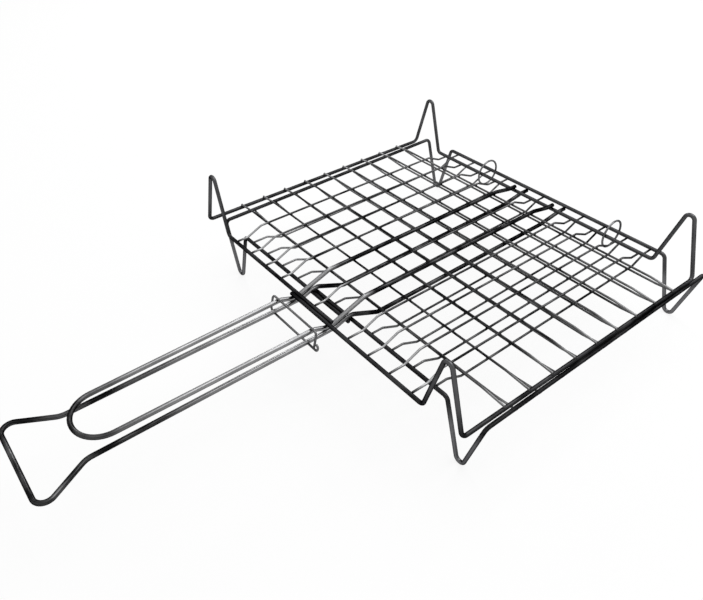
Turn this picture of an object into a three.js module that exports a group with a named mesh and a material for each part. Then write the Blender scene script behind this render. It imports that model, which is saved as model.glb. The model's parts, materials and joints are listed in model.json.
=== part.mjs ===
import * as THREE from 'three';

// A double grill grate: two dished wire grates that hold the food between them.
// Lengths are in millimetres. Each grate is drawn in its own frame: x across it, y from its
// handle side to its hinge side, z out of the food space, with z = 0 on its outer frame.
// Wire sizes are diameters, and the other sizes run between wire centres.

// Wire sizes, and the play left where two wires touch.
const frameWire = 4.5;
const handleWire = 5;
const meshWire = 2.5;
const ringWire = 2.5;
const play = 0.3;

// Outer frames, each one long wire whose ends lap side by side between the handle's legs.
const frameWidth = 440;
const frameDepth = 350;
const cornerBend = 6;
const lapReach = 33;

// Feet: at each corner the frame wire is bent up into a narrow V.
const footSpread = 48;
const footHeight = 71.8;
const footBend = 5.5;

// Mesh: cross wires seated on the long edges, long wires laid over them. Both grates have the
// same mesh. The wide margin is on the upper grate's handle side and the lower's hinge side.
const meshRise = 6;
const crossCount = 9;
const wideMargin = 47.3;
const narrowMargin = 39.5;
const crossOverhang = 0.3;
const crossSeatRun = 3;
const crossRiseRun = 24;
const sideMargin = 64.5;
const longLevelRun = 16;
const longRiseRun = 20;
const meshBend = 6;
const longPlaces = [-5, -4, -3, -2, 0, 2, 3, 4, 5];

// Handles: two legs that pass inside the lapped bars, cross the mesh and end on the hinge side.
const legSpacing = 61;
const legBend = 12;
const legDipRun = 14;
const legRunIn = 3;
const legSeatRun = 10;
const legOverhang = 1.5;
const upperHandleLength = 260;
const upperGripWidth = 56.5;
const upperGripBend = 28;
const lowerHandleLength = 337.6;
const lowerGripWidth = 117.5;
const lowerGripLength = 49.5;
const lowerGripBend = 10;
const lowerFlareBend = 20;

// Hinge: two loose rings round both hinge-side wires, and how the closed grates are offset.
const hingeOffset = 26;
const hingeRise = 5.4;
const sideShift = 0.7;
const hingeRingPlaceShares = [-0.202, 0.25];
const hingeRingSplit = 0.6;

// Lock ring: a flat loop round all four legs that slides along the handles.
const lockPlay = 4.9;
const lockBend = 4.5;
const lockLean = 4.5;
const lockDistance = 52.5;
const lockEyeBend = 3;

// Sides of a wire's section, and steps of its bends.
const wireSides = 8;
const footSteps = 5;
const cornerSteps = 4;
const slightSteps = 2;
const gripSteps = 7;
const ringSteps = 26;

const halfWidth = frameWidth / 2;
const halfLegs = legSpacing / 2;
const crossPitch = (frameDepth - wideMargin - narrowMargin) / (crossCount - 1);
const longPitch = (halfWidth - sideMargin) / Math.max(...longPlaces);
const lapOffset = frameWire + play;
const legSeat = (frameWire + handleWire) / 2 + play;
const legRise = meshRise + (meshWire + handleWire) / 2 + play;
const longRise = meshRise + meshWire + play;
const dipStart = -lapOffset - frameWire / 2;
const dipEnd = frameWire / 2;

// The upper grate rests with the low parts of its legs on the lower legs, so it tilts a little.
const legsApart = handleWire + play;
const closedTilt = Math.asin((legsApart + legSeat - hingeRise) / (frameDepth - dipEnd));
const dipOuter = dipStart - legDipRun;
const handlesApart = hingeRise + (frameDepth - dipOuter) * Math.sin(closedTilt);

// The lock ring has its play beyond the legs on both sides.
const lockInnerLength = legSpacing + handleWire + 2 * lockPlay;

const steelFinish = { color: 0x4b4c4f, metalness: 0.9, roughness: 0.35 };
const meshFinish = { color: 0x55565a, metalness: 0.9, roughness: 0.4 };
const handleFinish = { color: 0x8f9195, metalness: 0.95, roughness: 0.25 };
const ringFinish = { color: 0x77797d, metalness: 0.95, roughness: 0.3 };

// One corner of a wire's route, with the radius and the steps of the bend there.
function corner(x, y, z, radius = 0, steps = slightSteps) {
  return { point: new THREE.Vector3(x, y, z), radius, steps };
}

// The centre line of a bent wire: straight runs, with a round bend at each inner corner.
// It carries the wire's section along without twist, from a given side direction.
class WireLine extends THREE.Curve {
  constructor(side) {
    super();
    this.side = side;
    this.stations = [];
    this.headings = [];
  }

  static through(corners, side) {
    const line = new WireLine(side);
    const last = corners.length - 1;
    const directions = corners.slice(1).map((next, index) => heading(corners[index], next));
    line.add(corners[0].point, directions[0]);
    for (let index = 1; index < last; index += 1) {
      line.addBend(corners[index], directions[index - 1], directions[index]);
    }
    line.add(corners[last].point, directions[last - 1]);
    return line;
  }

  add(station, direction) {
    this.stations.push(station.clone());
    this.headings.push(direction.clone());
  }

  addBend(bend, arriving, leaving) {
    const turn = arriving.angleTo(leaving);
    const axis = arriving.clone().cross(leaving).normalize();
    const start = bend.point.clone().addScaledVector(arriving, -bend.radius * Math.tan(turn / 2));
    const centre = start.clone().addScaledVector(axis.clone().cross(arriving), bend.radius);
    this.addArc(start, centre, axis, arriving, turn, bend.steps);
  }

  addArc(start, centre, axis, arriving, turn, steps) {
    for (let step = 0; step <= steps; step += 1) {
      const angle = (turn * step) / steps;
      const station = start.clone().sub(centre).applyAxisAngle(axis, angle).add(centre);
      this.add(station, arriving.clone().applyAxisAngle(axis, angle));
    }
  }

  getSpacedPoints() {
    return this.stations;
  }

  computeFrenetFrames() {
    const normals = [this.side.clone()];
    for (let index = 1; index < this.headings.length; index += 1) {
      const turn = new THREE.Quaternion();
      turn.setFromUnitVectors(this.headings[index - 1], this.headings[index]);
      normals.push(normals[index - 1].clone().applyQuaternion(turn));
    }
    const binormals = normals.map((normal, index) => this.headings[index].clone().cross(normal));
    return { tangents: this.headings, normals, binormals };
  }
}

function heading(from, to) {
  return to.point.clone().sub(from.point).normalize();
}

// A many-sided section with the area of the round wire, with flats across both axes.
function wireSection(diameter) {
  const step = (2 * Math.PI) / wireSides;
  const radius = (diameter / 2) * Math.sqrt(step / Math.sin(step));
  const points = [];
  for (let side = 0; side < wireSides; side += 1) {
    const angle = (side + 1 / 2) * step;
    points.push(new THREE.Vector2(radius * Math.cos(angle), radius * Math.sin(angle)));
  }
  return new THREE.Shape(points);
}

function makeWire(name, line, diameter, finish) {
  const steps = line.stations.length - 1;
  const geometry = new THREE.ExtrudeGeometry(wireSection(diameter), {
    steps,
    bevelEnabled: false,
    extrudePath: line,
  });
  const mesh = new THREE.Mesh(geometry, new THREE.MeshStandardMaterial(finish));
  mesh.name = name;
  return mesh;
}

// Height above the frame at which the two straight legs of a foot would cross.
function footApexHeight() {
  const bendHeight = footHeight - frameWire / 2 - footBend;
  const bendDistance = Math.hypot(footSpread / 2, bendHeight);
  const lean = Math.atan2(footSpread / 2, bendHeight) - Math.asin(footBend / bendDistance);
  return footSpread / 2 / Math.tan(lean);
}

// The three corners of one foot, from the short edge out to the grate's corner.
// Side is -1 on the left and 1 on the right.
function footCorners(side, y) {
  return [
    corner(side * (halfWidth - footSpread), y, 0, cornerBend, cornerSteps),
    corner(side * (halfWidth - footSpread / 2), y, footApexHeight(), footBend, footSteps),
    corner(side * halfWidth, y, 0, cornerBend, cornerSteps),
  ];
}

function makeFrame(grateName) {
  const corners = [
    corner(lapReach, 0, 0),
    ...footCorners(-1, 0),
    ...footCorners(-1, frameDepth).reverse(),
    ...footCorners(1, frameDepth),
    ...footCorners(1, -lapOffset).reverse(),
    corner(-lapReach, -lapOffset, 0),
  ];
  const line = WireLine.through(corners, new THREE.Vector3(0, 0, 1));
  return makeWire(`${grateName}_frame`, line, frameWire, steelFinish);
}

function makeCrossWire(name, y) {
  const seatHeight = (frameWire + meshWire) / 2 + play;
  const outerEnd = halfWidth + crossOverhang;
  const seatEnd = halfWidth - crossSeatRun;
  const riseEnd = seatEnd - crossRiseRun;
  const corners = [
    corner(-outerEnd, y, seatHeight),
    corner(-seatEnd, y, seatHeight, meshBend),
    corner(-riseEnd, y, meshRise, meshBend),
    corner(riseEnd, y, meshRise, meshBend),
    corner(seatEnd, y, seatHeight, meshBend),
    corner(outerEnd, y, seatHeight),
  ];
  const line = WireLine.through(corners, new THREE.Vector3(0, 1, 0));
  return makeWire(name, line, meshWire, meshFinish);
}

// A long wire butts against the inner side of both short edges and is dished between them.
function makeLongWire(name, x) {
  const buttGap = frameWire / 2 + play;
  const barPlace = x > lapReach ? -lapOffset : 0;
  const riseEnd = longLevelRun + longRiseRun;
  const corners = [
    corner(x, barPlace + buttGap, 0),
    corner(x, longLevelRun, 0, meshBend),
    corner(x, riseEnd, longRise, meshBend),
    corner(x, frameDepth - riseEnd, longRise, meshBend),
    corner(x, frameDepth - longLevelRun, 0, meshBend),
    corner(x, frameDepth - buttGap, 0),
  ];
  const line = WireLine.through(corners, new THREE.Vector3(1, 0, 0));
  return makeWire(name, line, meshWire, meshFinish);
}

// The run of one leg from its end on the hinge-side wire to its level part outside the grate.
function legCorners(side, handleMargin) {
  const x = side * halfLegs;
  const firstCross = handleMargin;
  const lastCross = handleMargin + (crossCount - 1) * crossPitch;
  return [
    corner(x, frameDepth + legOverhang, legSeat),
    corner(x, frameDepth - legSeatRun, legSeat, legBend),
    corner(x, lastCross + legRunIn, legRise, legBend),
    corner(x, firstCross - legRunIn, legRise, legBend),
    corner(x, dipEnd, -legSeat, legBend),
    corner(x, dipStart, -legSeat, legBend),
    corner(x, dipOuter, 0, legBend),
  ];
}

// The upper handle narrows a little and ends in a round bow. Its legs droop so that they lie along the lower
// handle's legs while the grates are closed.
function upperGripCorners(side) {
  const drop = (upperHandleLength + dipOuter) * Math.tan(closedTilt);
  const x = (side * upperGripWidth) / 2;
  return [corner(x, -upperHandleLength, -drop, upperGripBend, gripSteps)];
}

// The lower handle is longer and flares to a wide bar that stops the lock ring.
function lowerGripCorners(side) {
  const flareStart = lowerGripLength - lowerHandleLength;
  return [
    corner(side * halfLegs, flareStart, 0, lowerFlareBend, cornerSteps),
    corner((side * lowerGripWidth) / 2, -lowerHandleLength, 0, lowerGripBend, gripSteps),
  ];
}

function makeHandle(grateName, handleMargin, gripCorners) {
  const corners = [
    ...legCorners(-1, handleMargin),
    ...gripCorners(-1),
    ...gripCorners(1).reverse(),
    ...legCorners(1, handleMargin).reverse(),
  ];
  const line = WireLine.through(corners, new THREE.Vector3(1, 0, 0));
  return makeWire(`${grateName}_handle`, line, handleWire, handleFinish);
}

function makeGrate(grateName, handleMargin, gripCorners) {
  const grate = new THREE.Group();
  grate.add(makeFrame(grateName));
  grate.add(makeHandle(grateName, handleMargin, gripCorners));
  for (let row = 0; row < crossCount; row += 1) {
    const y = handleMargin + row * crossPitch;
    grate.add(makeCrossWire(`${grateName}_cross_wire_${row + 1}`, y));
  }
  longPlaces.forEach((place, index) => {
    grate.add(makeLongWire(`${grateName}_long_wire_${index + 1}`, place * longPitch));
  });
  return grate;
}

// A round ring with a narrow split, just large enough to hold both hinge-side wires.
function makeHingeRing(name, x) {
  const wiresApart = Math.hypot(hingeOffset, hingeRise);
  const radius = (wiresApart + frameWire + ringWire) / 2 + play;
  const splitAngle = hingeRingSplit / radius;
  const line = new WireLine(new THREE.Vector3(1, 0, 0));
  const axis = new THREE.Vector3(1, 0, 0);
  const start = new THREE.Vector3(0, 0, radius).applyAxisAngle(axis, splitAngle / 2);
  const arriving = axis.clone().cross(start).normalize();
  line.addArc(start, new THREE.Vector3(), axis, arriving, 2 * Math.PI - splitAngle, ringSteps);
  const ring = makeWire(name, line, ringWire, ringFinish);
  ring.position.set(x, frameDepth - hingeOffset / 2, hingeRise / 2);
  return ring;
}

// The lock ring starts as a small open eye at its right end, runs under the four legs, round
// the left end and back over them, and ends above the eye.
function makeLockRing() {
  const clearance = ringWire / 2 + play;
  const halfLength = (lockInnerLength + ringWire) / 2;
  const halfRise = (handlesApart + handleWire) / 2 + clearance;
  const halfHeight = Math.hypot(halfRise, lockLean / 2);
  const eyeEnd = halfLength + ringWire + play;
  const eyeSide = eyeEnd + lockEyeBend;
  const eyeTop = -halfHeight + 2 * lockEyeBend + play;
  const corners = [
    corner(eyeEnd, 0, eyeTop),
    corner(eyeSide, 0, eyeTop, lockEyeBend, cornerSteps),
    corner(eyeSide, 0, -halfHeight, lockEyeBend, cornerSteps),
    corner(-halfLength, 0, -halfHeight, lockBend, cornerSteps),
    corner(-halfLength, 0, halfHeight, lockBend, cornerSteps),
    corner(halfLength, 0, halfHeight, lockBend, cornerSteps),
    corner(halfLength, 0, -halfHeight + clearance),
  ];
  const line = WireLine.through(corners, new THREE.Vector3(0, 1, 0));
  const ring = makeWire('lock_ring', line, ringWire, ringFinish);
  ring.rotation.x = -Math.asin(lockLean / 2 / halfHeight);
  ring.position.set(sideShift, -lockDistance, handlesApart / 2);
  return ring;
}

const lowerGrate = makeGrate('lower', narrowMargin, lowerGripCorners);
lowerGrate.rotation.y = Math.PI;
lowerGrate.position.x = sideShift;

const upperGrate = makeGrate('upper', wideMargin, upperGripCorners);
upperGrate.position.y = -frameDepth;
const upperPivot = new THREE.Group();
upperPivot.add(upperGrate);
upperPivot.position.set(0, frameDepth - hingeOffset, hingeRise);
upperPivot.rotation.x = -closedTilt;

const assembly = new THREE.Group();
assembly.add(lowerGrate);
assembly.add(upperPivot);
assembly.add(makeHingeRing('hinge_ring_left', hingeRingPlaceShares[0] * frameWidth));
assembly.add(makeHingeRing('hinge_ring_right', hingeRingPlaceShares[1] * frameWidth));
assembly.add(makeLockRing());

// The origin is under the middle of the closed part, where its feet stand.
const box = new THREE.Box3().setFromObject(assembly);
const middle = box.getCenter(new THREE.Vector3());
assembly.position.set(-middle.x, -middle.y, -box.min.z);

const group = new THREE.Group();
group.add(assembly);

export default group;
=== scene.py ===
"""A double grill grate: two dished grates of plated steel wire that close round the food.

Every wire is swept as a round rod along the route it is bent to, and the welds where wires cross
are added as small beads. Lengths are in metres. Each grate is drawn in its own axes: x across it,
y from its handle side to its hinge side, z out of the food space.
"""

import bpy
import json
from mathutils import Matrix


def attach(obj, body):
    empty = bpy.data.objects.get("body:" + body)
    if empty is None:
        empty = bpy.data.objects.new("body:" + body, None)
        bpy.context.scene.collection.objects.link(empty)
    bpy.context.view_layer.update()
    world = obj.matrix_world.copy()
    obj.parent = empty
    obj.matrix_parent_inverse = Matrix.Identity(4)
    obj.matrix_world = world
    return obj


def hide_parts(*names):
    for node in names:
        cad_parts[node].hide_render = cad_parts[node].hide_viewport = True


bl_info = {
    "name": "Double grill grate",
    "version": (1, 0, 0),
    "blender": (4, 5, 0),
    "location": "View3D > Sidebar > Grill",
    "description": "Builds a hinged wire grill grate and its studio",
    "category": "Add Mesh",
}

import json
import math

import bpy
from bpy.props import FloatProperty, FloatVectorProperty, IntProperty, PointerProperty
from bpy.types import Operator, Panel, PropertyGroup
from mathutils import Matrix, Quaternion, Vector

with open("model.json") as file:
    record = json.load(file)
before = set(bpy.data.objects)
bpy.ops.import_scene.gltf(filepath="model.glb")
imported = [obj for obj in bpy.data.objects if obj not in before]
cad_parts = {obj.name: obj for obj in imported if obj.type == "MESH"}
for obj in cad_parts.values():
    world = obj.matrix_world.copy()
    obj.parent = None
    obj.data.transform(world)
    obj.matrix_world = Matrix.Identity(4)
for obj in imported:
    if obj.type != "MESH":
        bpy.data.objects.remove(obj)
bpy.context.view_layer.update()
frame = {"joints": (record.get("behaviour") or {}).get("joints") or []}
JOINTS = {joint["name"]: joint for joint in frame["joints"]}
HINGE_OF_LOWER = Vector(JOINTS["ring_swing"]["pos_m"])
HINGE_OF_UPPER = Vector(JOINTS["grate_open"]["pos_m"])

ACROSS = Vector((1, 0, 0))
ALONG = Vector((0, 1, 0))
OUTWARD = Vector((0, 0, 1))
GRATES = ("lower", "upper")

# How many sides the rod of each wire has round it.
FRAME_SIDES = 20
HANDLE_SIDES = 24
MESH_SIDES = 14
RING_SIDES = 16


def length(name, default, about):
    """A size in metres, as the sidebar shows it."""
    return FloatProperty(name=name, description=about, default=default, min=0,
                         subtype="DISTANCE", unit="LENGTH", precision=4)


def tint(name, default, about):
    """A colour of the plating."""
    return FloatVectorProperty(name=name, description=about, default=default, size=3,
                               min=0, max=1, subtype="COLOR")


def share(name, default, about):
    """A number from nothing to all."""
    return FloatProperty(name=name, description=about, default=default, min=0, max=1,
                         subtype="FACTOR")


class WireSizes(PropertyGroup):
    frame: length("Frame wire", 0.0045, "Diameter of the outer frames' wire")
    handle: length("Handle wire", 0.005, "Diameter of the handles' wire")
    mesh: length("Mesh wire", 0.0025, "Diameter of the mesh wires")
    ring: length("Ring wire", 0.0025, "Diameter of the hinge rings and the lock ring")
    play: length("Play", 0.0003, "Gap left where two wires touch")
    bead: length("Weld bead", 0.0011, "Half width of the flash at a weld")
    shear: length("Sheared edge", 0.0003, "Rounding of a cut wire's end")


class GrateSizes(PropertyGroup):
    width: length("Width", 0.44, "Between the long edges")
    depth: length("Depth", 0.35, "From the handle side to the hinge side")
    corner_bend: length("Corner bend", 0.006, "Radius where the frame turns into a foot")
    lap_reach: length("Lap reach", 0.033, "How far the frame's ends run past the middle")
    foot_spread: length("Foot spread", 0.048, "Width of a foot at the frame")
    foot_height: length("Foot height", 0.0718, "Height of a foot over the frame")
    foot_bend: length("Foot bend", 0.0055, "Radius of a foot's tip")


class MeshSizes(PropertyGroup):
    rise: length("Mesh rise", 0.006, "Height of the cross wires over the frame")
    rows: IntProperty(name="Cross wires", description="Cross wires in each grate", default=9,
                      min=2)
    wide_margin: length("Wide margin", 0.0473, "From one short edge to its first cross wire")
    narrow_margin: length("Narrow margin", 0.0395, "The same at the other short edge")
    overhang: length("Overhang", 0.0003, "How far a cross wire passes its long edge")
    seat_run: length("Seat", 0.003, "Level run of a cross wire on its long edge")
    rise_run: length("Cross rise", 0.024, "Run in which a cross wire rises")
    side_margin: length("Side margin", 0.0645, "From a long edge to the first long wire")
    level_run: length("Long level", 0.016, "Level run at a long wire's ends")
    long_run: length("Long rise", 0.02, "Run in which a long wire rises")
    bend: length("Mesh bend", 0.006, "Radius of a mesh wire's bends")


class HandleSizes(PropertyGroup):
    spacing: length("Leg spacing", 0.061, "Between a handle's two legs")
    bend: length("Leg bend", 0.012, "Radius of the legs' bends")
    dip_run: length("Dip", 0.014, "Run in which a leg passes under the lapped bars")
    run_in: length("Run in", 0.003, "Level run of a leg before the first cross wire")
    seat_run: length("Leg seat", 0.01, "Level run on the hinge-side wire")
    overhang: length("Leg overhang", 0.0015, "How far a leg passes the hinge-side wire")
    upper_length: length("Upper handle", 0.26, "From the frame to the end of the upper handle")
    bow_width: length("Bow width", 0.0565, "Width of the upper handle's round end")
    upper_bend: length("Bow", 0.028, "Radius of the upper handle's round end")
    lower_length: length("Lower handle", 0.3376, "From the frame to the end of the lower handle")
    grip_width: length("Grip width", 0.1175, "Width of the lower handle's flared end")
    grip_length: length("Grip length", 0.0495, "Length of the lower handle's flared end")
    grip_bend: length("Grip bend", 0.01, "Radius of the flared end's corners")
    flare_bend: length("Flare bend", 0.02, "Radius where the lower handle starts to flare")


class RingSizes(PropertyGroup):
    side_shift: length("Side shift", 0.0007, "How far the lower grate lies to the right")
    split: length("Ring split", 0.0006, "Gap between a hinge ring's ends")
    lock_play: length("Lock play", 0.0049, "Room beside the legs inside the lock ring")
    lock_bend: length("Lock bend", 0.0045, "Radius of the lock ring's bends")
    lock_lean: length("Lock lean", 0.0045, "How far the lock ring's top leans")
    lock_distance: length("Lock place", 0.0525, "From the lower frame to the lock ring")
    eye_bend: length("Eye bend", 0.003, "Radius of the lock ring's open eye")


class Finishes(PropertyGroup):
    # The light tints are the colour of painted reflections, which lift a wire from its dark tint
    # where they are laid on; the dark tints are the plating's own colour.
    frame_dark: tint("Frame, dark", (0.009, 0.009, 0.0095), "Dulled plating of the frames")
    frame_light: tint("Frame, light", (0.15, 0.15, 0.155), "Worn plating of the frames")
    mesh_dark: tint("Mesh, dark", (0.01, 0.01, 0.0105), "Dulled plating of the mesh")
    mesh_light: tint("Mesh, light", (0.42, 0.42, 0.425), "Worn plating of the mesh")
    handle_dark: tint("Handle, dark", (0.006, 0.006, 0.0065), "Dulled plating of the handles")
    handle_light: tint("Handle, light", (0.36, 0.36, 0.365), "Bright plating of the handles")
    ring_dark: tint("Rings, dark", (0.02, 0.02, 0.021), "Dulled plating of the rings")
    ring_light: tint("Rings, light", (0.3, 0.3, 0.305), "Bright plating of the rings")
    edge: tint("Edge", (0.1, 0.1, 0.105), "Reflection of the plating at a slant")


class StudioSettings(PropertyGroup):
    camera_place: FloatVectorProperty(name="Camera", description="Where the camera stands",
                                      default=(0.4569, -0.3383, 0.53809), size=3,
                                      subtype="TRANSLATION", unit="LENGTH")
    camera_turn: FloatVectorProperty(name="Camera turn", description="How the camera is turned",
                                     default=(0.89749, 0.02689, 0.9153), size=3, subtype="EULER",
                                     unit="ROTATION", precision=5)
    lens: FloatProperty(name="Lens", description="Focal length in millimetres on a 36 mm frame",
                        default=34.842, min=1, unit="CAMERA")
    shift: FloatVectorProperty(name="Shift", description="Share of the frame that the view is "
                               "shifted by", default=(0.02105, -0.01183), size=2)
    floor: tint("Floor", (0.94, 0.94, 0.94), "Colour of the floor")
    floor_glow: share("Floor glow", 0.86, "How much of the floor shows as plain white")
    sky: share("Sky", 0.55, "Strength of the light from all sides")


GROUPS = {
    "grill_wires": WireSizes,
    "grill_grate": GrateSizes,
    "grill_mesh": MeshSizes,
    "grill_handles": HandleSizes,
    "grill_rings": RingSizes,
    "grill_finishes": Finishes,
    "grill_studio": StudioSettings,
}


class Sizes:
    """The sizes that the sidebar shows, and those that follow from them."""

    # Long wires in pitches from the middle. A leg of the handle runs where 1 and -1 would be.
    LONG_PLACES = (-5, -4, -3, -2, 0, 2, 3, 4, 5)
    # Hinge rings in shares of the width from the middle.
    RING_PLACE_SHARES = {"hinge_ring_left": -0.202, "hinge_ring_right": 0.25}

    def __init__(self):
        scene = bpy.context.scene
        self.wire = scene.grill_wires
        self.grate = scene.grill_grate
        self.mesh = scene.grill_mesh
        self.handle = scene.grill_handles
        self.ring = scene.grill_rings
        wire, grate, mesh, handle = self.wire, self.grate, self.mesh, self.handle
        self.half_width = grate.width / 2
        self.half_legs = handle.spacing / 2
        free_depth = grate.depth - mesh.wide_margin - mesh.narrow_margin
        self.cross_pitch = free_depth / (mesh.rows - 1)
        self.long_pitch = (self.half_width - mesh.side_margin) / max(self.LONG_PLACES)
        self.lap = wire.frame + wire.play
        # How far over the frame's centre line the other wires' centre lines rest.
        self.leg_seat = (wire.frame + wire.handle) / 2 + wire.play
        self.leg_rise = mesh.rise + (wire.mesh + wire.handle) / 2 + wire.play
        self.long_rise = mesh.rise + wire.mesh + wire.play
        self.cross_seat = (wire.frame + wire.mesh) / 2 + wire.play
        # Where a leg starts and ends its dip inside the lapped bars, and is level beyond them.
        self.dip_start = -self.lap - wire.frame / 2
        self.dip_end = wire.frame / 2
        self.dip_outer = self.dip_start - handle.dip_run
        apart = HINGE_OF_LOWER - HINGE_OF_UPPER
        self.hinge_offset = apart.y
        self.hinge_rise = -apart.z
        # The low parts of the upper legs rest on the lower legs, so the upper grate tilts a little.
        legs_apart = wire.handle + wire.play
        lift = legs_apart + self.leg_seat - self.hinge_rise
        self.tilt = math.asin(lift / (grate.depth - self.dip_end))
        self.handles_apart = (self.hinge_rise
                              + (grate.depth - self.dip_outer) * math.sin(self.tilt))

    def rows(self, grate_name):
        """Where the cross wires lie, from the handle side on."""
        mesh = self.mesh
        margin = mesh.wide_margin if grate_name == "upper" else mesh.narrow_margin
        return [margin + row * self.cross_pitch for row in range(mesh.rows)]

    def place(self, grate_name):
        """Where a grate's own axes lie while the part is closed."""
        home = Matrix.Translation(-ALONG * self.grate.depth)
        if grate_name == "upper":
            turn = Matrix.Rotation(-self.tilt, 4, "X")
            return Matrix.Translation(self.upper_hinge()) @ turn @ home
        return Matrix.Translation(self.lower_hinge()) @ Matrix.Rotation(math.pi, 4, "Y") @ home

    def middle(self):
        """The upper grate's middle, left of the whole part's middle as the lower one is right."""
        return -ACROSS * self.ring.side_shift / 2

    def lower_hinge(self):
        return HINGE_OF_LOWER + self.middle() + ACROSS * self.ring.side_shift

    def upper_hinge(self):
        return HINGE_OF_UPPER + self.middle()

    def lower_frame_middle(self):
        """The point that the closed part's pieces are placed from."""
        return HINGE_OF_LOWER + self.middle() - ALONG * self.grate.depth


class Corner:
    """One corner of a wire's route, with the radius of the bend there."""

    def __init__(self, x, y, z, radius=0.0):
        self.point = Vector((x, y, z))
        self.radius = radius


class Route:
    """A bent wire's centre line: stations with the direction that the wire takes there."""

    BEND_STEP = math.radians(7)
    RUN_STEP = 0.012

    def __init__(self):
        self.stations = []

    @classmethod
    def through(cls, corners):
        """Straight from corner to corner, bent at each one but the first and the last."""
        route = cls()
        points = [corner.point for corner in corners]
        ways = [(after - before).normalized() for before, after in zip(points, points[1:])]
        route.add(points[0], ways[0])
        for corner, arriving, leaving in zip(corners[1:], ways, ways[1:]):
            route.bend(corner, arriving, leaving)
        route.run_to(points[-1], ways[-1])
        return route

    def add(self, point, way):
        self.stations.append((point.copy(), way.copy()))

    def run_to(self, point, way):
        start = self.stations[-1][0]
        run = (point - start).length
        steps = max(1, round(run / self.RUN_STEP))
        for step in range(1, steps + 1):
            self.add(start.lerp(point, step / steps), way)

    def bend(self, corner, arriving, leaving):
        turn = arriving.angle(leaving)
        axis = arriving.cross(leaving).normalized()
        start = corner.point - arriving * corner.radius * math.tan(turn / 2)
        self.run_to(start, arriving)
        centre = start + axis.cross(arriving) * corner.radius
        self.arc(start, centre, axis, arriving, turn)

    def arc(self, start, centre, axis, arriving, turn):
        steps = max(2, math.ceil(turn / self.BEND_STEP))
        for step in range(1, steps + 1):
            turned = Quaternion(axis, turn * step / steps)
            self.add(centre + turned @ (start - centre), turned @ arriving)


def put_in_scene(name, data):
    """An object that shows a mesh, a lamp or a camera."""
    thing = bpy.data.objects.new(name, data)
    bpy.context.scene.collection.objects.link(thing)
    return thing


def plated_piece(name, placed, points, faces, runs, tones_and_painted_reflections):
    """A piece whose points know their place on their wire, and their tone with its painted
    reflection.
    """
    data = bpy.data.meshes.new(name)
    data.from_pydata([placed @ point for point in points], [], faces)
    data.shade_smooth()
    run = data.attributes.new("wire_run", "FLOAT_VECTOR", "POINT")
    run.data.foreach_set("vector", [value for triple in runs for value in triple])
    # Per point: the wire's plain tone plus a painted reflection, lighter along stretches set by
    # where the point lies.
    shine = data.attributes.new("shine", "FLOAT", "POINT")
    shine.data.foreach_set("value", tones_and_painted_reflections)
    return put_in_scene(name, data)


class Rod:
    """A round rod along a route, with its ends sheared and slightly rounded."""

    def __init__(self, name, route, side, diameter, sides, placed, shine):
        self.radius = diameter / 2
        self.sides = sides
        self.points, self.faces, self.runs, self.tones_and_painted_reflections = [], [], [], []
        shear = bpy.context.scene.grill_wires.shear
        first, last = route.stations[0], route.stations[-1]
        # Each ring of points: its centre, heading, radius and place along the wire.
        rings = [(first[0], first[1], self.radius - shear, 0.0),
                 (first[0] + first[1] * shear, first[1], self.radius, shear)]
        along = 0.0
        for before, station in zip(route.stations, route.stations[1:-1]):
            along += (station[0] - before[0]).length
            rings.append((station[0], station[1], self.radius, along))
        along += (last[0] - route.stations[-2][0]).length
        rings.append((last[0] - last[1] * shear, last[1], self.radius, along - shear))
        rings.append((last[0], last[1], self.radius - shear, along))
        normal = side.copy()
        way = rings[0][1]
        for point, heading, radius, run in rings:
            normal = way.rotation_difference(heading) @ normal
            way = heading
            self.ring(point, normal, heading.cross(normal), radius, run, shine(point))
        count = len(rings)
        for row in range(count - 1):
            for k in range(sides):
                low, high = row * sides, (row + 1) * sides
                after = (k + 1) % sides
                self.faces.append((low + k, low + after, high + after, high + k))
        self.faces.append(tuple(range(sides - 1, -1, -1)))
        self.faces.append(tuple(range((count - 1) * sides, count * sides)))
        self.thing = plated_piece(name, placed, self.points, self.faces, self.runs, self.tones_and_painted_reflections)
        for end in self.thing.data.polygons[-2:]:
            end.use_smooth = False

    def ring(self, point, normal, binormal, radius, run, shine):
        """One round of points about the centre line."""
        for k in range(self.sides):
            angle = math.tau * k / self.sides
            out = normal * math.cos(angle) + binormal * math.sin(angle)
            self.points.append(point + out * radius)
            self.runs.append((math.cos(angle) * self.radius, math.sin(angle) * self.radius, run))
            self.tones_and_painted_reflections.append(shine)


def smooth(low, high, value):
    """0 below low, 1 above high, and an even curve between."""
    t = min(1.0, max(0.0, (value - low) / (high - low)))
    return t * t * (3 - 2 * t)


class Value:
    """A shader socket that takes part in plain arithmetic."""

    def __init__(self, sheet, socket):
        self.sheet = sheet
        self.socket = socket

    def math(self, operation, *values):
        return self.sheet.add("ShaderNodeMath", {"operation": operation}, *values)

    def __add__(self, other):
        return self.math("ADD", self, other)

    def __sub__(self, other):
        return self.math("SUBTRACT", self, other)

    def __rsub__(self, other):
        return self.math("SUBTRACT", other, self)

    def __mul__(self, other):
        return self.math("MULTIPLY", self, other)

    __radd__ = __add__
    __rmul__ = __mul__

    def clamped(self):
        return self.sheet.add("ShaderNodeClamp", {}, self)

    def stepped(self, low, high):
        """Runs from 0 at low to 1 at high."""
        settings = {"interpolation_type": "SMOOTHSTEP"}
        return self.sheet.add("ShaderNodeMapRange", settings, self, low, high)

    def stretched(self, *scale):
        """A vector scaled by an amount of its own in each direction."""
        return self.sheet.add("ShaderNodeVectorMath", {"operation": "MULTIPLY"}, self, scale)


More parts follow.
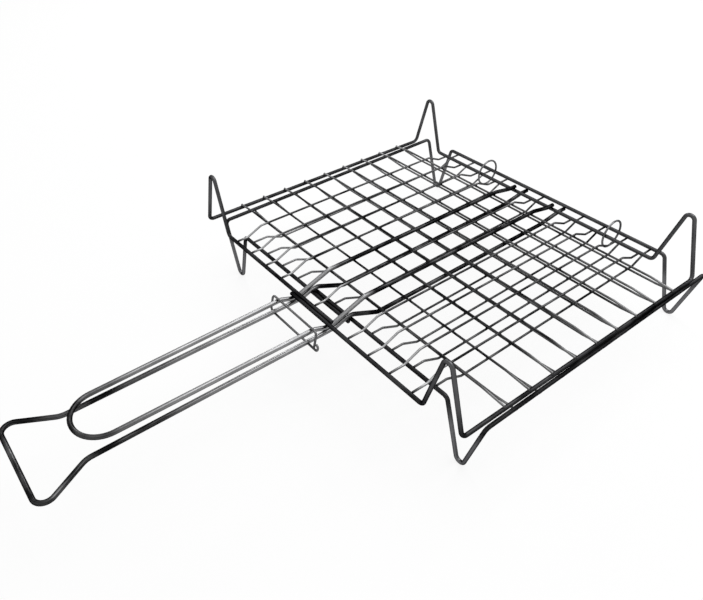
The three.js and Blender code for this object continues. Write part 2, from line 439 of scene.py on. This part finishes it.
class Sheet:
    """A material's or the world's nodes, laid out from expressions."""

    NODE_STEP = 40

    def __init__(self, tree):
        self.tree = tree
        tree.nodes.clear()

    def make(self, kind, settings, *values, **named):
        """A node, its inputs fed in their order or by their names."""
        node = self.tree.nodes.new(kind)
        node.location = (len(self.tree.nodes) * self.NODE_STEP, 0)
        for key, setting in settings.items():
            setattr(node, key, setting)
        sockets = [socket for socket in node.inputs if socket.enabled]
        for socket, value in list(zip(sockets, values)):
            self.feed(socket, value)
        for key, value in named.items():
            self.feed(node.inputs[key.replace("_", " ")], value)
        return node

    def feed(self, socket, value):
        if isinstance(value, Value):
            self.tree.links.new(value.socket, socket)
        elif socket.type == "RGBA":
            socket.default_value = (*value, 1.0)
        else:
            socket.default_value = value

    def add(self, kind, settings, *values, **named):
        """The first output of a new node."""
        node = self.make(kind, settings, *values, **named)
        return Value(self, next(socket for socket in node.outputs if socket.enabled))

    def pick(self, kind, settings, output, **named):
        """The output of that name of a new node."""
        return Value(self, self.make(kind, settings, **named).outputs[output])

    def colour_mix(self, share_of_second, first, second):
        settings = {"data_type": "RGBA"}
        return self.add("ShaderNodeMix", settings, share_of_second, first, second)

    def noise(self, place, scale, detail):
        return self.pick("ShaderNodeTexNoise", {}, "Fac", Vector=place, Scale=scale,
                         Detail=detail)


def blank_material(name):
    """A material and its empty sheet of nodes."""
    material = bpy.data.materials.new(name)
    material.use_nodes = True
    return material, Sheet(material.node_tree)


class Plating:
    """The marks on the plating, and how much each of them changes its tone, gloss and relief."""

    MARKS_ACROSS = 900
    MARKS_ALONG = 40
    MARKS_DETAIL = 2.0
    MARKS_IN_TONE = 0.35
    MARKS_IN_ROUGHNESS = 0.12
    CLOUD_SCALE = 38.0
    CLOUD_DETAIL = 2.0
    CLOUDS_IN_TONE = 0.55
    SPECK_SCALE = 900.0
    SPECK_DETAIL = 1.0
    SPECK_START = 0.62
    SPECK_FULL = 0.75
    SPECKS_IN_TONE = 0.12
    SPECKS_IN_RELIEF = 0.2
    RELIEF_STRENGTH = 0.2
    RELIEF_DEPTH = 0.00004
    # Roughness of each family of wires, first where the plating is dark and then where its painted
    # reflection is full.
    ROUGHNESS = {
        "frame": (0.42, 0.24),
        "mesh": (0.45, 0.28),
        "handle": (0.34, 0.2),
        "ring": (0.36, 0.22),
    }


def plated_steel(name, dark, light, edge, dull, bright):
    """Plated wire: drawing marks along it, cloudy plating, and painted reflections that lighten it
    where its points carry them.
    """
    kind = Plating
    plated, sheet = blank_material(name)
    run = sheet.pick("ShaderNodeAttribute", {"attribute_name": "wire_run"}, "Vector")
    shine = sheet.pick("ShaderNodeAttribute", {"attribute_name": "shine"}, "Fac")
    place = sheet.pick("ShaderNodeTexCoord", {}, "Object")
    drawn = run.stretched(kind.MARKS_ACROSS, kind.MARKS_ACROSS, kind.MARKS_ALONG)
    marks = sheet.noise(drawn, 1.0, kind.MARKS_DETAIL)
    clouds = sheet.noise(place, kind.CLOUD_SCALE, kind.CLOUD_DETAIL)
    specks = sheet.noise(place, kind.SPECK_SCALE, kind.SPECK_DETAIL)
    specks = specks.stepped(kind.SPECK_START, kind.SPECK_FULL)
    # Painted reflection: the per-point value lifts the colour towards the light tint, and the
    # random marks, clouds and specks vary it.
    tone = (shine + (marks - 0.5) * kind.MARKS_IN_TONE + (clouds - 0.5) * kind.CLOUDS_IN_TONE
            - specks * kind.SPECKS_IN_TONE).clamped()
    colour = sheet.colour_mix(tone, dark, light)
    roughness = (dull + (bright - dull) * tone + (marks - 0.5) * kind.MARKS_IN_ROUGHNESS).clamped()
    bump = sheet.pick("ShaderNodeBump", {}, "Normal", Strength=kind.RELIEF_STRENGTH,
                      Distance=kind.RELIEF_DEPTH, Height=marks - specks * kind.SPECKS_IN_RELIEF)
    steel = sheet.add("ShaderNodeBsdfPrincipled", {}, Base_Color=colour, Roughness=roughness,
                      Normal=bump, Metallic=1.0, Specular_Tint=edge)
    sheet.make("ShaderNodeOutputMaterial", {}, Surface=steel)
    return plated


def plating(name):
    """The finish of one family of wires, made when it is first needed."""
    found = bpy.data.materials.get(name)
    if found:
        return found
    family = name.split("_")[0]
    tones = bpy.context.scene.grill_finishes
    dark, light = getattr(tones, f"{family}_dark"), getattr(tones, f"{family}_light")
    return plated_steel(name, dark, light, tones.edge, *Plating.ROUGHNESS[family])


def dress(thing, finish, body, node=None):
    """Gives a piece its finish and body, and puts it in its solid's place."""
    thing.data.materials.append(plating(finish))
    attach(thing, body)
    if node:
        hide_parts(node)


def foot_apex(sizes):
    """Height over the frame at which the straight legs of a foot would cross."""
    grate = sizes.grate
    rise = grate.foot_height - sizes.wire.frame / 2 - grate.foot_bend
    slant = math.hypot(grate.foot_spread / 2, rise)
    lean = math.atan2(grate.foot_spread / 2, rise) - math.asin(grate.foot_bend / slant)
    return grate.foot_spread / 2 / math.tan(lean)


def foot_corners(sizes, side, y):
    """From the short edge over the foot's tip to the grate's corner."""
    grate = sizes.grate
    return [
        Corner(side * (sizes.half_width - grate.foot_spread), y, 0, grate.corner_bend),
        Corner(side * (sizes.half_width - grate.foot_spread / 2), y, foot_apex(sizes),
               grate.foot_bend),
        Corner(side * sizes.half_width, y, 0, grate.corner_bend),
    ]


def frame_corners(sizes):
    """From one lapped end round all four feet to the other, which lies outside the first."""
    reach, depth = sizes.grate.lap_reach, sizes.grate.depth
    return [
        Corner(reach, 0, 0),
        *foot_corners(sizes, -1, 0),
        *reversed(foot_corners(sizes, -1, depth)),
        *foot_corners(sizes, 1, depth),
        *reversed(foot_corners(sizes, 1, -sizes.lap)),
        Corner(-reach, -sizes.lap, 0),
    ]


def cross_corners(sizes, y):
    """From long edge to long edge, risen between them."""
    mesh = sizes.mesh
    outer = sizes.half_width + mesh.overhang
    seat = sizes.half_width - mesh.seat_run
    risen = seat - mesh.rise_run
    half = [
        Corner(outer, y, sizes.cross_seat),
        Corner(seat, y, sizes.cross_seat, mesh.bend),
        Corner(risen, y, mesh.rise, mesh.bend),
    ]
    mirrored = [Corner(-c.point.x, y, c.point.z, c.radius) for c in half]
    return mirrored + half[::-1]


def long_corners(sizes, x):
    """From the handle side to the hinge side, risen over the cross wires."""
    mesh, depth = sizes.mesh, sizes.grate.depth
    gap = sizes.wire.frame / 2 + sizes.wire.play
    bar = -sizes.lap if x > sizes.grate.lap_reach else 0.0
    risen = mesh.level_run + mesh.long_run
    return [
        Corner(x, bar + gap, 0),
        Corner(x, mesh.level_run, 0, mesh.bend),
        Corner(x, risen, sizes.long_rise, mesh.bend),
        Corner(x, depth - risen, sizes.long_rise, mesh.bend),
        Corner(x, depth - mesh.level_run, 0, mesh.bend),
        Corner(x, depth - gap, 0),
    ]


def leg_corners(sizes, grate_name, side):
    """From a leg's end on the hinge-side wire to its level part outside the grate."""
    handle, depth = sizes.handle, sizes.grate.depth
    rows = sizes.rows(grate_name)
    x = side * sizes.half_legs
    return [
        Corner(x, depth + handle.overhang, sizes.leg_seat),
        Corner(x, depth - handle.seat_run, sizes.leg_seat, handle.bend),
        Corner(x, rows[-1] + handle.run_in, sizes.leg_rise, handle.bend),
        Corner(x, rows[0] - handle.run_in, sizes.leg_rise, handle.bend),
        Corner(x, sizes.dip_end, -sizes.leg_seat, handle.bend),
        Corner(x, sizes.dip_start, -sizes.leg_seat, handle.bend),
        Corner(x, sizes.dip_outer, 0, handle.bend),
    ]


def grip_corners(sizes, grate_name, side):
    """The round bow of the upper handle, or the flared end of the lower one."""
    handle = sizes.handle
    if grate_name == "upper":
        drop = (handle.upper_length + sizes.dip_outer) * math.tan(sizes.tilt)
        return [Corner(side * handle.bow_width / 2, -handle.upper_length, -drop,
                       handle.upper_bend)]
    flare = handle.grip_length - handle.lower_length
    return [
        Corner(side * sizes.half_legs, flare, 0, handle.flare_bend),
        Corner(side * handle.grip_width / 2, -handle.lower_length, 0, handle.grip_bend),
    ]


class GrillOperator(Operator):
    """A step of the build, which can be undone"""
    bl_options = {"REGISTER", "UNDO"}


class GRILL_OT_frames(GrillOperator):
    """Bend both outer frames with their feet"""
    bl_idname = "grill.frames"
    bl_label = "Outer frames"

    SHINE = 0.12
    # Painted reflection on the feet and towards the hinge side, over the plain tone.
    FOOT_PAINTED_REFLECTIONS = {"lower": 0.7, "upper": 0.38}
    FOOT_FADE = (0.006, 0.03)
    HINGE_PAINTED_REFLECTION = 0.25
    HINGE_RUN = 0.02

    def execute(self, context):
        sizes = Sizes()
        for grate_name in GRATES:
            route = Route.through(frame_corners(sizes))
            foot_shine = self.FOOT_PAINTED_REFLECTIONS[grate_name]

            def shine(point):
                foot = smooth(*self.FOOT_FADE, point.z)
                hinge = smooth(sizes.grate.depth - self.HINGE_RUN, sizes.grate.depth, point.y)
                return self.SHINE + max(foot_shine * foot, self.HINGE_PAINTED_REFLECTION * hinge)
            rod = Rod(f"{grate_name}_frame_rod", route, OUTWARD, sizes.wire.frame, FRAME_SIDES,
                      sizes.place(grate_name), shine)
            dress(rod.thing, "frame_plating", f"{grate_name}_grate",
                  f"{grate_name}_frame")
        return {"FINISHED"}


class GRILL_OT_handles(GrillOperator):
    """Bend both handles, whose legs run over the mesh to the hinge side"""
    bl_idname = "grill.handles"
    bl_label = "Handles"

    # Painted reflection: the legs outside the grate are lightened, and it fades away towards the
    # dark grip and towards the mesh.
    SHINE = 0.04
    LEG_PAINTED_REFLECTION = 0.59
    GRIP_LOSS = 0.55
    # Where the painted reflection on the legs ends, towards the grip and towards the mesh.
    PAINTED_REFLECTION_STRETCHES = {"lower": (-0.12, -0.015), "upper": (-0.15, 0.04)}
    GRIP_FADE = 0.12
    MESH_FADE = 0.02

    def execute(self, context):
        sizes = Sizes()
        for grate_name in GRATES:
            outer_end, inner_end = self.PAINTED_REFLECTION_STRETCHES[grate_name]
            corners = [
                *leg_corners(sizes, grate_name, -1),
                *grip_corners(sizes, grate_name, -1),
                *reversed(grip_corners(sizes, grate_name, 1)),
                *reversed(leg_corners(sizes, grate_name, 1)),
            ]

            def shine(point):
                outside = 1 - smooth(inner_end, inner_end + self.MESH_FADE, point.y)
                grip = 1 - smooth(outer_end - self.GRIP_FADE, outer_end, point.y)
                return self.SHINE + outside * (self.LEG_PAINTED_REFLECTION - self.GRIP_LOSS * grip)
            rod = Rod(f"{grate_name}_handle_rod", Route.through(corners), ACROSS,
                      sizes.wire.handle, HANDLE_SIDES, sizes.place(grate_name), shine)
            dress(rod.thing, "handle_plating", f"{grate_name}_grate",
                  f"{grate_name}_handle")
        return {"FINISHED"}


class GRILL_OT_mesh(GrillOperator):
    """Lay the cross wires and the dished long wires of both grates"""
    bl_idname = "grill.mesh_wires"
    bl_label = "Mesh wires"

    # Plain tone all over, then painted reflection at the long wires' bends on the handle side, and
    # at the long edges.
    UPPER_TONE_AND_PAINTED_REFLECTIONS = (0.06, 0.8, 0.3)
    LOWER_TONE_AND_PAINTED_REFLECTIONS = (0.1, 0.25, 0.2)
    BEND_START = (0.006, 0.02)
    BEND_END = (0.03, 0.045)
    EDGE_START = 0.04
    EDGE_FULL = 0.01
    # Painted reflection: the upper mesh gets more towards the hinges, and the lower one towards one
    # side.
    HINGE_PAINTED_REFLECTION = 0.14
    HINGE_FADE = (0.1, 0.3)
    SIDE_PAINTED_REFLECTION = 0.2
    SIDE_FADE = (0, 0.12)

    def execute(self, context):
        sizes = Sizes()
        for grate_name in GRATES:
            self.lay(sizes, grate_name)
        return {"FINISHED"}

    def lay(self, sizes, grate_name):
        def shine(point):
            bend = smooth(*self.BEND_START, point.y) * (1 - smooth(*self.BEND_END, point.y))
            edge = smooth(sizes.half_width - self.EDGE_START, sizes.half_width - self.EDGE_FULL,
                          abs(point.x))
            if grate_name == "upper":
                (plain, bends, edges), more = self.UPPER_TONE_AND_PAINTED_REFLECTIONS, self.HINGE_PAINTED_REFLECTION
                share_of_more = smooth(*self.HINGE_FADE, point.y)
            else:
                (plain, bends, edges), more = self.LOWER_TONE_AND_PAINTED_REFLECTIONS, self.SIDE_PAINTED_REFLECTION
                share_of_more = smooth(*self.SIDE_FADE, point.x)
            return plain + bends * bend + edges * edge + more * share_of_more
        wires = []
        for number, y in enumerate(sizes.rows(grate_name), 1):
            wires.append((f"{grate_name}_cross_wire_{number}", cross_corners(sizes, y), ALONG))
        for number, place in enumerate(sizes.LONG_PLACES, 1):
            x = place * sizes.long_pitch
            wires.append((f"{grate_name}_long_wire_{number}", long_corners(sizes, x), ACROSS))
        for node, corners, side in wires:
            rod = Rod(node.replace("wire", "rod"), Route.through(corners), side, sizes.wire.mesh,
                      MESH_SIDES, sizes.place(grate_name), shine)
            dress(rod.thing, "mesh_plating", f"{grate_name}_grate", node)


class GRILL_OT_welds(GrillOperator):
    """Press a small bead of flash out at each weld"""
    bl_idname = "grill.welds"
    bl_label = "Weld beads"

    SHINE = 0.1
    SIDES = 12
    ROWS = 5
    WIDTH_SHARE = 1.35
    HEIGHT_SHARE = 0.8

    def execute(self, context):
        sizes = Sizes()
        for grate_name in GRATES:
            self.press(sizes, grate_name)
        return {"FINISHED"}

    def press(self, sizes, grate_name):
        wire = sizes.wire
        contact = sizes.mesh.rise + (wire.mesh + wire.play) / 2
        seat = (wire.frame + wire.play) / 2
        spots = []
        for y in sizes.rows(grate_name):
            for place in sizes.LONG_PLACES:
                spots.append((place * sizes.long_pitch, y, contact))
            for side in (-1, 1):
                spots.append((side * sizes.half_legs, y, contact))
                spots.append((side * sizes.half_width, y, seat))
        points, faces = [], []
        for spot in spots:
            self.bead(Vector(spot), wire.bead, points, faces)
        thing = plated_piece(f"{grate_name}_weld_beads", sizes.place(grate_name), points, faces,
                             points, [self.SHINE] * len(points))
        dress(thing, "mesh_plating", f"{grate_name}_grate")

    def bead(self, centre, radius, points, faces):
        """A flattened drop, wider than it is tall."""
        around, rows = self.SIDES, self.ROWS
        first = len(points)
        for row in range(rows):
            up = math.pi * (row + 0.5) / rows - math.pi / 2
            for k in range(around):
                turn = math.tau * k / around
                out = Vector((math.cos(turn), math.sin(turn), 0)) * math.cos(up)
                rise = OUTWARD * math.sin(up)
                points.append(centre + (out * self.WIDTH_SHARE + rise * self.HEIGHT_SHARE) * radius)
        for row in range(rows - 1):
            for k in range(around):
                low = first + row * around
                high, after = low + around, (k + 1) % around
                faces.append((low + k, low + after, high + after, high + k))
        faces.append(tuple(first + k for k in range(around - 1, -1, -1)))
        faces.append(tuple(first + (rows - 1) * around + k for k in range(around)))


class GRILL_OT_hinge_rings(GrillOperator):
    """Close the two split rings round the hinge-side wires"""
    bl_idname = "grill.hinge_rings"
    bl_label = "Hinge rings"

    SHINE = 0.45

    def execute(self, context):
        sizes = Sizes()
        wire = sizes.wire
        apart = math.hypot(sizes.hinge_offset, sizes.hinge_rise)
        radius = (apart + wire.frame + wire.ring) / 2 + wire.play
        opening = sizes.ring.split / radius
        centre = (HINGE_OF_LOWER + HINGE_OF_UPPER) / 2 + sizes.middle()
        for node, place_share in sizes.RING_PLACE_SHARES.items():
            start = Quaternion(ACROSS, opening / 2) @ (OUTWARD * radius)
            route = Route()
            heading = ACROSS.cross(start).normalized()
            route.add(start, heading)
            route.arc(start, Vector(), ACROSS, heading, math.tau - opening)
            placed = Matrix.Translation(centre + ACROSS * place_share * sizes.grate.width)
            rod = Rod(f"{node}_rod", route, ACROSS, wire.ring, RING_SIDES, placed,
                      lambda point: self.SHINE)
            dress(rod.thing, "ring_plating", "hinge_rings", node)
        return {"FINISHED"}


class GRILL_OT_lock_ring(GrillOperator):
    """Bend the loop that locks the handles together"""
    bl_idname = "grill.lock_ring"
    bl_label = "Lock ring"

    SHINE = 0.4

    def execute(self, context):
        sizes = Sizes()
        wire, ring = sizes.wire, sizes.ring
        clearance = wire.ring / 2 + wire.play
        half_length = sizes.half_legs + wire.handle / 2 + ring.lock_play + wire.ring / 2
        half_rise = (sizes.handles_apart + wire.handle) / 2 + clearance
        half_height = math.hypot(half_rise, ring.lock_lean / 2)
        eye_end = half_length + wire.ring + wire.play
        eye_side = eye_end + ring.eye_bend
        eye_top = -half_height + 2 * ring.eye_bend + wire.play
        corners = [
            Corner(eye_end, 0, eye_top),
            Corner(eye_side, 0, eye_top, ring.eye_bend),
            Corner(eye_side, 0, -half_height, ring.eye_bend),
            Corner(-half_length, 0, -half_height, ring.lock_bend),
            Corner(-half_length, 0, half_height, ring.lock_bend),
            Corner(half_length, 0, half_height, ring.lock_bend),
            Corner(half_length, 0, -half_height + clearance),
        ]
        lean = Matrix.Rotation(-math.asin(ring.lock_lean / 2 / half_height), 4, "X")
        place = (sizes.lower_frame_middle() + ACROSS * ring.side_shift
                 - ALONG * ring.lock_distance + OUTWARD * sizes.handles_apart / 2)
        rod = Rod("lock_ring_rod", Route.through(corners), ALONG, wire.ring, RING_SIDES,
                  Matrix.Translation(place) @ lean, lambda point: self.SHINE)
        dress(rod.thing, "ring_plating", "lock_ring", "lock_ring")
        return {"FINISHED"}


class GRILL_OT_stage(GrillOperator):
    """Set up the floor, the lamps and the camera"""
    bl_idname = "grill.stage"
    bl_label = "Studio"

    LAMPS = {
        "top_lamp": {"place": (0.2, 0.85, 2.0), "size": 1.7, "power": 24},
        "side_lamp": {"place": (-1.8, 0.9, 1.3), "size": 0.5, "power": 9},
        "back_lamp": {"place": (0.1, 1.7, 1.5), "size": 0.8, "power": 6},
    }
    FLOOR_REACH = 9.0
    GRAIN_SCALE = 5.0
    GRAIN_DETAIL = 2.0
    GRAIN_SHADE = 0.985

    def execute(self, context):
        studio = context.scene.grill_studio
        self.lay_floor(studio)
        self.light(context.scene, studio)
        for name, lamp in self.LAMPS.items():
            self.lamp(name, **lamp)
        data = bpy.data.cameras.new("camera")
        data.lens = studio.lens
        data.shift_x, data.shift_y = studio.shift
        camera = put_in_scene("camera", data)
        camera.location = studio.camera_place
        camera.rotation_euler = studio.camera_turn
        context.scene.camera = camera
        context.scene.view_settings.view_transform = "Standard"
        return {"FINISHED"}

    def seen_plain(self, sheet):
        """1 for what the camera, a reflection or a clear body shows."""
        path = sheet.make("ShaderNodeLightPath", {})
        rays = ("Is Camera Ray", "Is Glossy Ray", "Is Transmission Ray")
        camera, glossy, clear = (Value(sheet, path.outputs[ray]) for ray in rays)
        return (camera + glossy + clear).clamped()

    def lay_floor(self, studio):
        paper, sheet = blank_material("pale_floor")
        place = sheet.pick("ShaderNodeTexCoord", {}, "Object")
        grain = sheet.noise(place, self.GRAIN_SCALE, self.GRAIN_DETAIL)
        pale = Vector(studio.floor)
        colour = sheet.colour_mix(grain, pale * self.GRAIN_SHADE, pale)
        paint = sheet.add("ShaderNodeBsdfDiffuse", {}, Color=colour)
        white = sheet.add("ShaderNodeEmission", {}, Color=(1, 1, 1), Strength=1.0)
        seen = self.seen_plain(sheet) * studio.floor_glow
        mixed = sheet.add("ShaderNodeMixShader", {}, seen, paint, white)
        sheet.make("ShaderNodeOutputMaterial", {}, Surface=mixed)
        reach = self.FLOOR_REACH
        edges = [(-reach, -reach, 0), (reach, -reach, 0), (reach, reach, 0), (-reach, reach, 0)]
        data = bpy.data.meshes.new("floor")
        data.from_pydata(edges, [], [(0, 1, 2, 3)])
        data.materials.append(paper)
        put_in_scene("floor", data)

    def light(self, scene, studio):
        world = bpy.data.worlds.new("pale_room")
        world.use_nodes = True
        scene.world = world
        sheet = Sheet(world.node_tree)
        seen = self.seen_plain(sheet)
        strength = seen + (1 - seen) * studio.sky
        room = sheet.add("ShaderNodeBackground", {}, Color=(1, 1, 1), Strength=strength)
        sheet.make("ShaderNodeOutputWorld", {}, Surface=room)

    def lamp(self, name, place, size, power):
        data = bpy.data.lights.new(name, "AREA")
        data.size = size
        data.energy = power
        lamp = put_in_scene(name, data)
        lamp.location = place
        lamp.rotation_euler = (-Vector(place)).to_track_quat("-Z", "Y").to_euler()


PIECES = (GRILL_OT_frames, GRILL_OT_handles, GRILL_OT_mesh, GRILL_OT_welds,
          GRILL_OT_hinge_rings, GRILL_OT_lock_ring, GRILL_OT_stage)


class GRILL_PT_sidebar(Panel):
    """Sizes and steps of the grill grate"""
    bl_idname = "GRILL_PT_sidebar"
    bl_label = "Double grill grate"
    bl_space_type = "VIEW_3D"
    bl_region_type = "UI"
    bl_category = "Grill"

    def draw(self, context):
        for piece in PIECES:
            self.layout.operator(piece.bl_idname)
        for name, group in GROUPS.items():
            box = self.layout.box()
            box.label(text=group.__name__)
            for key in group.__annotations__:
                box.prop(getattr(context.scene, name), key)


CLASSES = (*GROUPS.values(), *PIECES, GRILL_PT_sidebar)


def register():
    for cls in CLASSES:
        bpy.utils.register_class(cls)
    for name, group in GROUPS.items():
        setattr(bpy.types.Scene, name, PointerProperty(type=group))


def unregister():
    for name in GROUPS:
        delattr(bpy.types.Scene, name)
    for cls in reversed(CLASSES):
        bpy.utils.unregister_class(cls)


def main():
    register()
    for piece in PIECES:
        group, step = piece.bl_idname.split(".")
        getattr(getattr(bpy.ops, group), step)()


if __name__ == "__main__":
    main()
